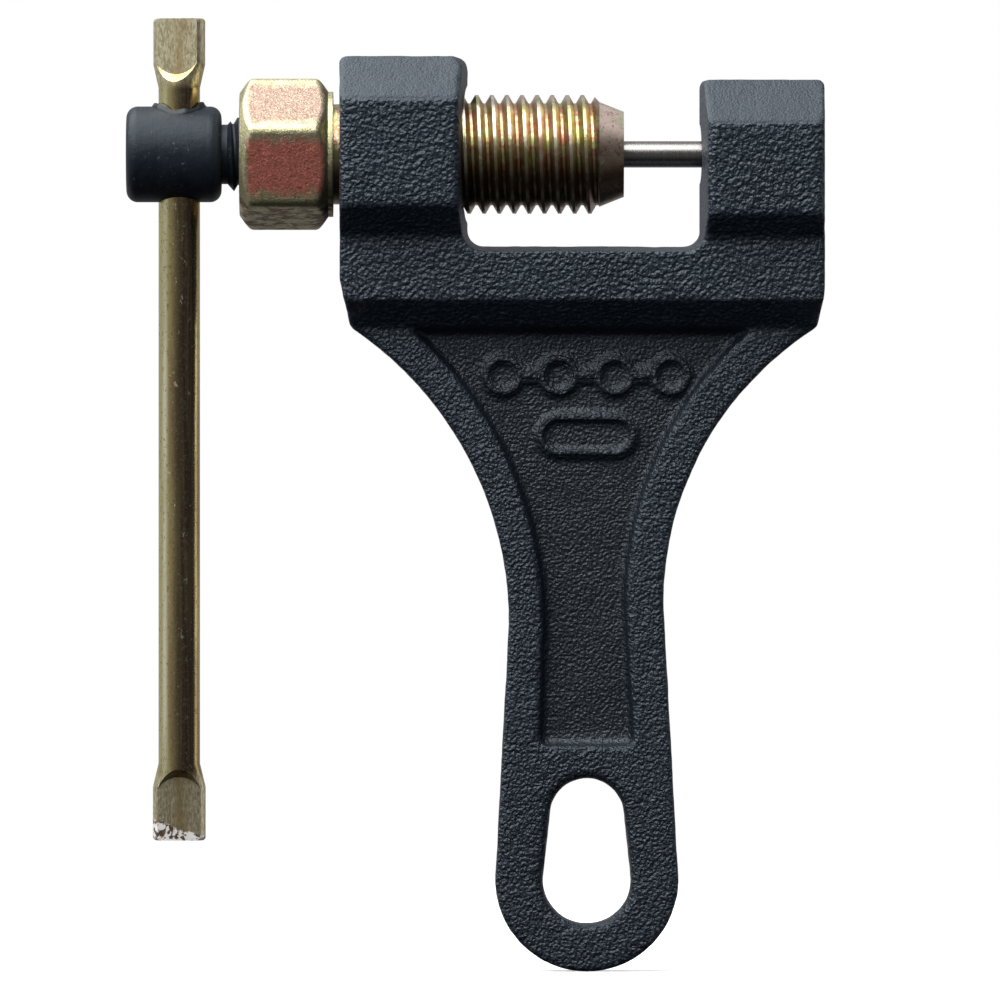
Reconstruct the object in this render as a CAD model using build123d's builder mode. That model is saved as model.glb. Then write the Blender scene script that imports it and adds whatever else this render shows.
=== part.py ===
from build123d import *

import math
import os

os.makedirs("parts", exist_ok=True)

# Screw-type chain tool. +X runs along the screw axis towards the anvil, +Z is up the tool and
# -Y is its marked face. The origin is on the screw axis where the anvil's bore begins, at the
# foot of its countersink. Everything is in millimetres.

# ---------------------------------------------------------------- driving dimensions

# Cast frame: jaw
jaw_gap = 30.7
jaw_depth = 12.2
jaw_floor_radius = 2.0
jaw_draft_angle = 5.5
casting_edge_radius = 0.9
block_chamfer = 5.6

# Cast frame: tapped block on the left
bolt_block_length = 16.9
bolt_block_thickness = 24.0
bolt_block_top = 12.9
bolt_block_flat_foot = 6.9
bolt_block_inner_radius = 1.7

# Cast frame: anvil on the right
anvil_length = 16.5
anvil_thickness = 22.0
anvil_top = 9.8
anvil_flat_foot = 8.1
anvil_inner_radius = 0.9
anvil_bore_radius = 2.9
anvil_countersink_depth = 0.8

# Cast frame: web, shoulders and handle, measured down from the screw axis
web_thickness = 16.0
web_foot = 19.4
shoulder_depth = 22.9
shoulder_radius = 1.2
left_shoulder_start = 16.6
left_shoulder_inset = 1.4
right_shoulder_start = 18.6
right_shoulder_inset = 0.9
handle_offset = 0.45
handle_thickness = 9.0
left_waist_depth = 62.0
left_waist_width = 10.3
right_waist_depth = 59.5
right_waist_width = 10.1
ring_depth = 96.1
ring_radius = 12.1

# Cast frame: hanging slot, wider at its lower end
slot_top_depth = 87.5
slot_top_radius = 4.9
slot_foot_radius = 5.85
slot_edge_radius = 1.1

# Cast frame: sunk panel on each face, inside a rim
panel_thickness = 5.0
panel_wall_angle = 18.0
panel_foot_depth = 78.5
panel_foot_width = 12.9
panel_corner_radius = 1.2
left_rim_width = 4.3
right_rim_width = 4.7
left_panel_top_inset = 7.3
right_panel_top_inset = 8.0

# Raised marks on the front panel
mark_height = 0.5
mark_stroke = 0.95
chain_mark_depth = 29.3
chain_mark_pitch = 7.4
chain_mark_radius = 2.7
chain_mark_rollers = 4
badge_depth = 37.2
badge_length = 13.4
badge_height = 5.8

# Screw threads
bolt_thread_diameter = 16.0
bolt_thread_pitch = 2.0
push_thread_diameter = 10.0
push_thread_pitch = 1.5
thread_half_angle = 30.0
thread_crest_cut = 0.13
thread_root_share = 0.62
thread_pitch_line_share = 0.3248
thread_hole_clearance = 0.08
thread_mouth_chamfer = 0.9
neck_relief = 0.12

# Hollow adjusting bolt
hex_length = 12.4
hex_across_flats = 18.0
hex_turn = 11.5
hex_edge_radius = 1.5
hex_end_chamfer = 1.6
hex_end_inset = 0.9
hex_shoulder_radius = 0.9
hex_rim_radius = 0.5
washer_face_radius = 8.3
washer_face_height = 0.5
hex_gap = 0.9
bolt_reach = 38.5
bolt_neck_length = 1.4
bolt_nose_length = 3.25
bolt_nose_root_step = 0.92
bolt_nose_step = 2.22
bolt_nose_wall = 4.5

# Extractor pin and its return spring
pin_radius = 1.75
pin_head_radius = 4.6
pin_head_length = 3.0
pin_tip_chamfer = 0.25
pin_clearance = 0.05
pin_tip_gap = 0.2
spring_rest_length = 8.9
spring_wire_radius = 0.5
spring_mean_radius = 2.95
spring_turns = 5.5
spring_clearance = 0.05

# Push screw
push_head_radius = 6.35
push_head_length = 12.6
push_head_edge = 1.5
push_head_gap = 2.4
push_neck_length = 0.8
push_tip_chamfer = 0.9
cross_hole_from_end = 7.0

# Tommy bar
bar_radius = 2.75
bar_clearance = 0.05
bar_length = 108.9
bar_above_axis = 18.0
bar_flat_width = 7.0
bar_flat_depth = 5.2
bar_flat_thickness = 3.0
bar_flare_length = 1.8
bar_top_flat = 7.4
bar_top_turn = -15.0
bar_foot_flat = 8.4
bar_flat_ramp = 1.3
bar_flat_heel_radius = 3.3
bar_flat_heel_angle = 40.0
bar_tip_radius = 0.5

# How far a cutter reaches past the face it starts from
overshoot = 1.0
# How far a thread's envelope stands off its crest, so that it leaves the crest untouched
crest_margin = 0.1
# Half the depth of the slice in which a face's edges are looked for
pick_margin = 0.01

# ---------------------------------------------------------------- derived places

anvil_face_x = -anvil_countersink_depth
anvil_outer_x = anvil_face_x + anvil_length
bolt_block_face_x = anvil_face_x - jaw_gap
bolt_block_outer_x = bolt_block_face_x - bolt_block_length
jaw_middle_x = (anvil_face_x + bolt_block_face_x) / 2
handle_x = jaw_middle_x + handle_offset

hex_face_x = bolt_block_outer_x - hex_gap
hex_end_x = hex_face_x - hex_length
bolt_end_x = hex_face_x + bolt_reach
bolt_nose_x = bolt_end_x - bolt_nose_length
spring_seat_x = bolt_end_x - bolt_nose_wall

pin_tip_x = -pin_tip_gap
pin_head_x = spring_seat_x - spring_rest_length - pin_head_length
push_tip_x = pin_head_x
push_head_face_x = hex_end_x - push_head_gap
push_head_end_x = push_head_face_x - push_head_length
bar_x = push_head_end_x + cross_hole_from_end

casting_half = max(bolt_block_thickness, anvil_thickness) / 2
casting_length = anvil_outer_x - bolt_block_outer_x
panel_sink = (handle_thickness - panel_thickness) / 2


# ---------------------------------------------------------------- screw threads


def crest_radius(diameter):
    """Outside radius of the male thread."""
    return diameter / 2 - thread_crest_cut


def male_root_radius(diameter, pitch):
    """Radius at the foot of the male thread."""
    return diameter / 2 - thread_root_share * pitch


def hole_radius(diameter):
    """Radius of the plain hole that a male thread turns in."""
    return crest_radius(diameter) + thread_hole_clearance


def helical_groove(pitch, start_x, length, bottom, top, bottom_half, top_half):
    """A right-hand groove cutter along X. It has its narrow or wide side at radius bottom."""
    with BuildPart() as cutter:
        with BuildLine() as path:
            Helix(pitch, length, bottom, center=(start_x, 0, 0), direction=(1, 0, 0))
        across = Plane(origin=path.line @ 0, x_dir=(1, 0, 0), z_dir=(0, -1, 0))
        with BuildSketch(across):
            with BuildLine():
                Polyline(
                    (-bottom_half, 0),
                    (bottom_half, 0),
                    (top_half, top - bottom),
                    (-top_half, top - bottom),
                    close=True,
                )
            make_face()
        sweep(path=path.line, is_frenet=True)
    return cutter.part


def threaded_rod(diameter, pitch, from_x, to_x):
    """A rod along X with a male thread, longer than from_x to to_x by three turns at each end."""
    middle = diameter / 2 - thread_pitch_line_share * pitch
    slope = math.tan(math.radians(thread_half_angle))
    bottom = male_root_radius(diameter, pitch)
    crest = crest_radius(diameter)
    top = crest + crest_margin / 2
    groove = helical_groove(
        pitch,
        from_x - pitch,
        to_x - from_x + 2 * pitch,
        bottom,
        top,
        pitch / 4 + (bottom - middle) * slope,
        pitch / 4 + (top - middle) * slope,
    )
    with BuildPart() as rod:
        with BuildSketch(Plane.YZ.offset(from_x - 3 * pitch)):
            Circle(crest)
        extrude(amount=to_x - from_x + 6 * pitch)
        add(groove, mode=Mode.SUBTRACT)
    return rod.part


# ---------------------------------------------------------------- cast frame


def corner(sketch, x, y):
    """The corner of a sketch nearest to (x, y) on its plane."""
    return sketch.vertices().sort_by_distance((x, y, 0))[0]


def block_section(thickness, top, flat_foot):
    """One block seen along the screw axis, with the web and the rim below it."""
    half = thickness / 2
    web_half = web_thickness / 2
    rim_half = handle_thickness / 2
    below = -ring_depth - 2 * ring_radius
    with BuildSketch(Plane.YZ) as section:
        with BuildLine():
            Polyline(
                (0, top),
                (half - block_chamfer, top),
                (half, top - block_chamfer),
                (half, -flat_foot),
                (web_half, -flat_foot - (half - web_half)),
                (web_half, -web_foot),
                (rim_half, -web_foot - (web_half - rim_half)),
                (rim_half, below),
                (0, below),
                close=True,
            )
        make_face()
        mirror(about=Plane.YZ)
    return section.sketch


# Front view of the casting at its mid-plane
with BuildSketch(Plane.XZ) as casting_outline:
    left_waist = (handle_x - left_waist_width, -left_waist_depth)
    right_waist = (handle_x + right_waist_width, -right_waist_depth)
    left_shoulder = (bolt_block_outer_x + left_shoulder_inset, -shoulder_depth)
    right_shoulder = (anvil_outer_x - right_shoulder_inset, -shoulder_depth)
    left_ring = (handle_x - ring_radius, -ring_depth)
    right_ring = (handle_x + ring_radius, -ring_depth)
    with BuildLine():
        TangentArc(left_waist, left_shoulder, tangent=(0, 1))
        Polyline(
            left_shoulder,
            (bolt_block_outer_x, -left_shoulder_start),
            (bolt_block_outer_x, bolt_block_top),
            (jaw_middle_x, bolt_block_top),
            (jaw_middle_x, anvil_top),
            (anvil_outer_x, anvil_top),
            (anvil_outer_x, -right_shoulder_start),
            right_shoulder,
        )
        TangentArc(right_waist, right_shoulder, tangent=(0, 1))
        Line(right_waist, right_ring)
        ThreePointArc(right_ring, (handle_x, -ring_depth - ring_radius), left_ring)
        Line(left_ring, left_waist)
    make_face()
    for x, y, radius in (
        (bolt_block_outer_x, bolt_block_top, casting_edge_radius),
        (anvil_outer_x, anvil_top, casting_edge_radius),
        (*left_shoulder, shoulder_radius),
        (*right_shoulder, shoulder_radius),
    ):
        fillet(corner(casting_outline, x, y), radius)

# The sections of both blocks, each across its own side of the jaw
with BuildPart() as casting_sections:
    left_section = block_section(bolt_block_thickness, bolt_block_top, bolt_block_flat_foot)
    right_section = block_section(anvil_thickness, anvil_top, anvil_flat_foot)
    extrude(left_section.moved(Location((jaw_middle_x, 0, 0))), amount=-casting_length)
    extrude(right_section.moved(Location((jaw_middle_x, 0, 0))), amount=casting_length)

# The jaw, which widens from the mid-plane towards both faces
with BuildPart() as jaw_opening:
    jaw_cut_top = bolt_block_top + overshoot
    with BuildSketch(Plane.XZ) as jaw_outline:
        with Locations((jaw_middle_x, (jaw_cut_top - jaw_depth) / 2)):
            Rectangle(jaw_gap, jaw_cut_top + jaw_depth)
        for x in (bolt_block_face_x, anvil_face_x):
            fillet(corner(jaw_outline, x, -jaw_depth), jaw_floor_radius)
    extrude(amount=casting_half + overshoot, both=True, taper=-jaw_draft_angle)

# The panels, cut into both faces from the rim inwards, in line with the handle's sides
with BuildPart() as panel_sinking:
    with BuildSketch(Plane.XZ.offset(handle_thickness / 2)) as panel_outline:
        left_inner = (left_waist[0] + left_rim_width, -left_waist_depth)
        right_inner = (right_waist[0] - right_rim_width, -right_waist_depth)
        left_top = (left_shoulder[0] + left_panel_top_inset, -shoulder_depth)
        right_top = (right_shoulder[0] - right_panel_top_inset, -shoulder_depth)
        left_foot = (handle_x - panel_foot_width / 2, -panel_foot_depth)
        right_foot = (handle_x + panel_foot_width / 2, -panel_foot_depth)
        with BuildLine():
            TangentArc(left_inner, left_top, tangent=(0, 1))
            Line(left_top, right_top)
            TangentArc(right_inner, right_top, tangent=(0, 1))
            Polyline(right_inner, right_foot, left_foot, left_inner)
        make_face()
        for x, y in (left_foot, right_foot):
            fillet(corner(panel_outline, x, y), panel_corner_radius)
    extrude(amount=-panel_sink, taper=panel_wall_angle)
    mirror(about=Plane.XZ)

with BuildPart() as frame:
    extrude(casting_outline.sketch, amount=casting_half, both=True)
    add(casting_sections.part, mode=Mode.INTERSECT)
    add(jaw_opening.part, mode=Mode.SUBTRACT)
    add(panel_sinking.part, mode=Mode.SUBTRACT)

    # Rounded tops where the jaw's sides meet the blocks' top faces
    for x, top, radius in (
        (bolt_block_face_x, bolt_block_top, bolt_block_inner_radius),
        (anvil_face_x, anvil_top, anvil_inner_radius),
    ):
        top_edges = frame.edges().filter_by_position(Axis.Z, top - pick_margin, top + pick_margin)
        fillet(top_edges.sort_by_distance((x, 0, top))[:2], radius)

    # Hanging slot with rounded mouths
    with BuildSketch(Plane.XZ):
        with Locations((handle_x, -slot_top_depth)):
            Circle(slot_top_radius)
        with Locations((handle_x, -ring_depth)):
            Circle(slot_foot_radius)
        make_hull()
    extrude(amount=handle_thickness, both=True, mode=Mode.SUBTRACT)
    slot_middle_depth = (slot_top_depth + ring_depth) / 2
    slot_mouth_edges = 4
    for face_y in (-handle_thickness / 2, handle_thickness / 2):
        slot_middle = (handle_x, face_y, -slot_middle_depth)
        face_edges = frame.edges().filter_by_position(
            Axis.Y, face_y - pick_margin, face_y + pick_margin
        )
        slot_mouth = face_edges.sort_by_distance(slot_middle)[:slot_mouth_edges]
        fillet(slot_mouth, slot_edge_radius)

    # Rounded edges round the flat faces of both blocks
    for thickness in (bolt_block_thickness, anvil_thickness):
        for face_y in (-thickness / 2, thickness / 2):
            block_edges = frame.edges().filter_by_position(
                Axis.Y, face_y - pick_margin, face_y + pick_margin
            )
            fillet(block_edges, casting_edge_radius)

    # Hole for the adjusting bolt, opened up at both mouths
    bolt_hole = hole_radius(bolt_thread_diameter)
    mouth = bolt_hole + thread_mouth_chamfer
    with BuildSketch(Plane.XZ):
        with BuildLine():
            Polyline(
                (bolt_block_outer_x - overshoot, 0),
                (bolt_block_outer_x - overshoot, mouth + overshoot),
                (bolt_block_outer_x + thread_mouth_chamfer, bolt_hole),
                (bolt_block_face_x - thread_mouth_chamfer, bolt_hole),
                (bolt_block_face_x + overshoot, mouth + overshoot),
                (bolt_block_face_x + overshoot, 0),
                close=True,
            )
        make_face()
    revolve(axis=Axis.X, mode=Mode.SUBTRACT)

    # Anvil bore and its countersink
    with BuildSketch(Plane.XZ):
        with BuildLine():
            Polyline(
                (anvil_face_x - overshoot, 0),
                (anvil_face_x - overshoot, anvil_bore_radius + anvil_countersink_depth + overshoot),
                (0, anvil_bore_radius),
                (anvil_outer_x + overshoot, anvil_bore_radius),
                (anvil_outer_x + overshoot, 0),
                close=True,
            )
        make_face()
    revolve(axis=Axis.X, mode=Mode.SUBTRACT)

    # Raised marks: a row of chain rollers joined by bars, over a plain ring
    with BuildSketch(Plane.XZ.offset(panel_thickness / 2)):
        with Locations((handle_x, -chain_mark_depth)):
            with GridLocations(chain_mark_pitch, 0, chain_mark_rollers, 1):
                Circle(chain_mark_radius)
            with GridLocations(chain_mark_pitch, 0, chain_mark_rollers - 1, 1):
                Rectangle(chain_mark_pitch, 2 * mark_stroke)
            with GridLocations(chain_mark_pitch, 0, chain_mark_rollers, 1):
                Circle(chain_mark_radius - mark_stroke, mode=Mode.SUBTRACT)
        with Locations((handle_x, -badge_depth)):
            SlotOverall(badge_length, badge_height)
            SlotOverall(
                badge_length - 2 * mark_stroke,
                badge_height - 2 * mark_stroke,
                mode=Mode.SUBTRACT,
            )
    extrude(amount=mark_height)

frame.part.label = "frame"
export_step(frame.part, "parts/frame.step")

# ---------------------------------------------------------------- hollow adjusting bolt

bolt_crest = crest_radius(bolt_thread_diameter)
bolt_neck = male_root_radius(bolt_thread_diameter, bolt_thread_pitch) - neck_relief
bolt_envelope = bolt_crest + crest_margin
bolt_nose_root_radius = bolt_crest - bolt_nose_root_step

# The threaded shank, cut to length from a rod, with its neck and its nose
with BuildPart() as bolt_shank:
    with BuildSketch(Plane.XZ):
        with BuildLine():
            Polyline(
                (hex_face_x - hex_length / 2, 0),
                (hex_face_x - hex_length / 2, bolt_neck),
                (hex_face_x + bolt_neck_length, bolt_neck),
                (hex_face_x + bolt_neck_length + bolt_crest - bolt_neck, bolt_envelope),
                (bolt_nose_x - bolt_nose_root_step, bolt_envelope),
                (bolt_nose_x, bolt_nose_root_radius),
                (bolt_end_x, bolt_crest - bolt_nose_step),
                (bolt_end_x, 0),
                close=True,
            )
        make_face()
    revolve(axis=Axis.X)
    rod = threaded_rod(bolt_thread_diameter, bolt_thread_pitch, hex_face_x, bolt_end_x)
    add(rod, mode=Mode.INTERSECT)

with BuildPart() as adjusting_bolt:
    # Hexagon, its ends turned down to a cone
    with BuildSketch(Plane.YZ.offset(hex_end_x)):
        RegularPolygon(hex_across_flats / 2, 6, major_radius=False, rotation=30 + hex_turn)
    extrude(amount=hex_length - washer_face_height)
    long_edges = adjusting_bolt.edges().filter_by(Axis.X)
    fillet(long_edges, hex_edge_radius)
    hex_shoulder_x = hex_face_x - washer_face_height
    hex_corner = hex_across_flats / math.sqrt(3)
    hex_end_radius = hex_across_flats / 2 - hex_end_inset
    with BuildSketch(Plane.XZ):
        with BuildLine():
            Polyline(
                (hex_end_x, 0),
                (hex_end_x, hex_end_radius),
                (hex_end_x + hex_end_chamfer, hex_corner),
                (hex_shoulder_x - hex_end_chamfer, hex_corner),
                (hex_shoulder_x, hex_end_radius),
                (hex_shoulder_x, 0),
                close=True,
            )
        make_face()
    revolve(axis=Axis.X, mode=Mode.INTERSECT)
    caps = adjusting_bolt.faces().filter_by(Plane.YZ)
    arcs = adjusting_bolt.edges() - adjusting_bolt.edges().filter_by(Axis.X) - caps.edges()
    fillet(arcs, hex_shoulder_radius)
    fillet(adjusting_bolt.faces().filter_by(Plane.YZ).edges(), hex_rim_radius)

    # Washer face and shank
    with BuildSketch(Plane.YZ.offset(hex_shoulder_x - overshoot)):
        Circle(washer_face_radius)
    extrude(amount=washer_face_height + overshoot)
    add(bolt_shank.part)

    # Stepped hole: the push screw and the spring run in the wide part, the pin in the narrow one
    push_hole = hole_radius(push_thread_diameter)
    guide_radius = pin_radius + pin_clearance
    with BuildSketch(Plane.XZ):
        with BuildLine():
            Polyline(
                (hex_end_x - overshoot, 0),
                (hex_end_x - overshoot, push_hole + thread_mouth_chamfer + overshoot),
                (hex_end_x + thread_mouth_chamfer, push_hole),
                (spring_seat_x, push_hole),
                (spring_seat_x, guide_radius),
                (bolt_end_x + overshoot, guide_radius),
                (bolt_end_x + overshoot, 0),
                close=True,
            )
        make_face()
    revolve(axis=Axis.X, mode=Mode.SUBTRACT)

adjusting_bolt.part.label = "adjusting_bolt"
export_step(adjusting_bolt.part, "parts/adjusting_bolt.step")

# ---------------------------------------------------------------- push screw

push_crest = crest_radius(push_thread_diameter)
push_neck = male_root_radius(push_thread_diameter, push_thread_pitch) - neck_relief
push_envelope = push_crest + crest_margin
push_thread_x = push_head_face_x + push_neck_length + push_crest - push_neck

with BuildPart() as push_screw:
    # Threaded shank, cut to length from a rod
    with BuildSketch(Plane.XZ):
        with BuildLine():
            Polyline(
                (push_head_face_x - overshoot, 0),
                (push_head_face_x - overshoot, push_neck),
                (push_head_face_x + push_neck_length, push_neck),
                (push_thread_x, push_envelope),
                (push_tip_x - push_tip_chamfer, push_envelope),
                (push_tip_x, push_crest - push_tip_chamfer),
                (push_tip_x, 0),
                close=True,
            )
        make_face()
    revolve(axis=Axis.X)
    rod = threaded_rod(push_thread_diameter, push_thread_pitch, push_head_face_x, push_tip_x)
    add(rod, mode=Mode.INTERSECT)

    # Round head, cross-drilled for the bar
    with BuildSketch(Plane.XZ) as head_profile:
        with Locations(((push_head_end_x + push_head_face_x) / 2, push_head_radius / 2)):
            Rectangle(push_head_length, push_head_radius)
        for x in (push_head_end_x, push_head_face_x):
            fillet(corner(head_profile, x, push_head_radius), push_head_edge)
    revolve(axis=Axis.X)
    with Locations(Location((bar_x, 0, 0))):
        Cylinder(
            bar_radius + bar_clearance,
            2 * (push_head_radius + overshoot),
            mode=Mode.SUBTRACT,
        )

push_screw.part.label = "push_screw"
export_step(push_screw.part, "parts/push_screw.step")

# ---------------------------------------------------------------- tommy bar

bar_foot_z = bar_above_axis - bar_length


def bar_end(flat_length):
    """One flattened end, its tip at the origin: the round bar flares out and is pressed flat."""
    oval_z = -flat_length + bar_flat_ramp
    with BuildPart() as end:
        with BuildSketch(Plane.XY.offset(-flat_length - bar_flare_length)):
            Circle(bar_radius)
        with BuildSketch(Plane.XY.offset(oval_z)) as oval:
            Ellipse(bar_flat_width / 2, bar_flat_depth / 2)
        loft()
        extrude(oval.sketch, amount=-oval_z)
        fillet(end.faces().sort_by(Axis.Z)[-1].edges(), bar_tip_radius)
        with BuildSketch(Plane.XZ.offset(bar_flat_thickness / 2)):
            with Locations((0, -flat_length + bar_flat_heel_radius)):
                Circle(bar_flat_heel_radius)
            with Locations((0, (overshoot - flat_length + bar_flat_heel_radius) / 2)):
                Rectangle(
                    2 * bar_flat_heel_radius,
                    overshoot + flat_length - bar_flat_heel_radius,
                )
        press = extrude(
            amount=bar_flat_depth, taper=-bar_flat_heel_angle, mode=Mode.PRIVATE
        )
        add(press, mode=Mode.SUBTRACT)
        mirror(press, about=Plane.XZ, mode=Mode.SUBTRACT)
    return end.part


with BuildPart() as tommy_bar:
    with BuildSketch(Plane.XY.offset(bar_foot_z + bar_foot_flat + bar_flare_length)):
        with Locations((bar_x, 0)):
            Circle(bar_radius)
    extrude(amount=bar_length - bar_top_flat - bar_foot_flat - 2 * bar_flare_length)
    add(bar_end(bar_top_flat).moved(Location((bar_x, 0, bar_above_axis), (0, 0, bar_top_turn))))
    add(bar_end(bar_foot_flat).moved(Location((bar_x, 0, bar_foot_z), (180, 0, 0))))

tommy_bar.part.label = "tommy_bar"
export_step(tommy_bar.part, "parts/tommy_bar.step")

# ---------------------------------------------------------------- extractor pin and return spring

with BuildPart() as extractor_pin:
    with BuildSketch(Plane.XZ):
        with BuildLine():
            Polyline(
                (pin_head_x, 0),
                (pin_head_x, pin_head_radius),
                (pin_head_x + pin_head_length, pin_head_radius),
                (pin_head_x + pin_head_length, pin_radius),
                (pin_tip_x - pin_tip_chamfer, pin_radius),
                (pin_tip_x, pin_radius - pin_tip_chamfer),
                (pin_tip_x, 0),
                close=True,
            )
        make_face()
    revolve(axis=Axis.X)

extractor_pin.part.label = "extractor_pin"
export_step(extractor_pin.part, "parts/extractor_pin.step")

spring_length = spring_rest_length - 2 * spring_wire_radius - 2 * spring_clearance
spring_start_x = spring_seat_x - spring_rest_length + spring_wire_radius + spring_clearance
with BuildPart() as return_spring:
    with BuildLine() as coil:
        Helix(
            spring_length / spring_turns,
            spring_length,
            spring_mean_radius,
            center=(spring_start_x, 0, 0),
            direction=(1, 0, 0),
        )
    with BuildSketch(Plane(origin=coil.line @ 0, x_dir=(1, 0, 0), z_dir=coil.line % 0)):
        Circle(spring_wire_radius)
    sweep(path=coil.line, is_frenet=True)

return_spring.part.label = "return_spring"
export_step(return_spring.part, "parts/return_spring.step")
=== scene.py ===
import math

import bmesh
import bpy
from bpy.props import FloatProperty, FloatVectorProperty, PointerProperty
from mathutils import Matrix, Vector, noise


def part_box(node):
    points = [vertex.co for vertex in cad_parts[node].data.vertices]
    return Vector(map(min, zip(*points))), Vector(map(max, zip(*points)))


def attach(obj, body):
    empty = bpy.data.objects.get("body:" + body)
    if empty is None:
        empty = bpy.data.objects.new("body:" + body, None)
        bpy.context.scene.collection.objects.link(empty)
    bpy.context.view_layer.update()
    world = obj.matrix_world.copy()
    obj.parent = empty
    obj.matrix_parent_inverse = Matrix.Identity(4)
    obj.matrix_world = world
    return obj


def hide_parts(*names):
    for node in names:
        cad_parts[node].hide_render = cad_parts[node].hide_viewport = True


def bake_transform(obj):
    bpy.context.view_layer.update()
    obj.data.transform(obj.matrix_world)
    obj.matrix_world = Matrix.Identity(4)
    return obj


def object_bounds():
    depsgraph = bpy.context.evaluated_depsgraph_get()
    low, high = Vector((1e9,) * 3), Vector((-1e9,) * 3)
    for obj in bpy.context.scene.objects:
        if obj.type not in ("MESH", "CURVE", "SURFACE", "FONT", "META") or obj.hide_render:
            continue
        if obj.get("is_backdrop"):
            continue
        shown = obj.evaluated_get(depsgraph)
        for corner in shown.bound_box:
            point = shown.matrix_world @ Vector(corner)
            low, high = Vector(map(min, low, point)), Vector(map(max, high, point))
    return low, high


bl_info = {
    "name": "Chain Tool",
    "version": (1, 0, 0),
    "blender": (4, 5, 0),
    "location": "View3D > Sidebar > Chain Tool",
    "description": "Finishes a screw-type chain tool and sets up its studio",
    "category": "Object",
}

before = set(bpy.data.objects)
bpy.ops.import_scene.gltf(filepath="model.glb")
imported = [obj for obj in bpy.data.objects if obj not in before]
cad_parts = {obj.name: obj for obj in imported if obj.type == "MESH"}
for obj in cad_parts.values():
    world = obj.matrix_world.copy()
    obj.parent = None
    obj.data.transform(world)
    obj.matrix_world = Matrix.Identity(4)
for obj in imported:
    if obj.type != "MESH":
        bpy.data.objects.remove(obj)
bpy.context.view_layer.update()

MM = 0.001
JAW_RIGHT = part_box("frame")[1].x
BOLT_LOW, BOLT_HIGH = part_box("adjusting_bolt")
HEAD_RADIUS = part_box("push_screw")[1].z
BAR_LOW, BAR_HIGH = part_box("tommy_bar")
BAR_MIDDLE = 0.5 * (BAR_LOW.x + BAR_HIGH.x)

# Below, a pair of lengths holds the two ends of a smooth step.

# Casting: |y| + z on the sloping faces of the two blocks, and the gap between the blocks
LEFT_CHAMFER = 19.3 * MM
RIGHT_CHAMFER = 15.2 * MM
CHAMFER_EDGE = (0.5 * MM, 0.1 * MM)
JAW_GAP = (-16 * MM, -15 * MM)
# Casting: the handle's middle and top, then the sunk panel's face, foot and sill
HANDLE_MIDDLE = -15.7 * MM
HANDLE_TOP = (-22 * MM, -26 * MM)
PANEL_FACE = (-4.1 * MM, -3.3 * MM)
PANEL_FOOT = -77.2 * MM
SILL_HALF_WIDTH = (6.0 * MM, 5.2 * MM)
# Casting: the nick on the anvil's right edge
NICK_HEIGHT = 8.4 * MM
NICK_RADIUS = (1.3 * MM, 0.7 * MM)
NICK_FRONT = (-7 * MM, -9 * MM)

# Adjusting bolt: its hexagon, one of the hexagon's edges in degrees, the thread and the nose
HEX_RIGHT = BOLT_LOW.x + 12.4 * MM
HEX_MIDDLE = 0.5 * (BOLT_LOW.x + HEX_RIGHT)
HEX_HALF_LENGTH = (5.4 * MM, 4.6 * MM)
HEX_EDGE = 18.5
THREAD_VALLEY = (7.7 * MM, 7.1 * MM)
NOSE_START = (BOLT_HIGH.x - 3.4 * MM, BOLT_HIGH.x - 3.1 * MM)

# Tommy bar: where its round part turns into the pressed ends, and the slanting tear at its foot
BAR_FOOT = (-81.5 * MM, -83 * MM)
BAR_TIP = (8.5 * MM, 10 * MM)
TEAR_EDGE = (-89.2 * MM, -89.4 * MM)
TEAR_SLANT = 0.3
TEAR_WANDER = 2.6 * MM

# Meshes: welding distances, the most faces of a piece, and how the casting's rough skin sets in
CAD_WELD = 0.001 * MM
STROKE_WELD = 0.002 * MM
FACE_LIMIT = 99000
SKIN_FADE = 2 * MM
DENT_SHIFT = Vector((7, 3, 1))
# Marks: a whole turn, the bend past which an edge is rounded, and a link against a stroke's top
FULL_TURN = 2 * math.pi
SHARP_ANGLE = 0.6
LINK_WIDTH = 1.4

# Stage: the floor, the faint light from everywhere, and the cool tint of dark gloss
FLOOR_RADIUS = 0.6
FLOOR_GAP = 0.02 * MM
SKY_BASE = 0.012
COOL_GLOSS = (0.84, 0.94, 1.0)


# ---------------------------------------------------------------- shader maths


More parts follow.
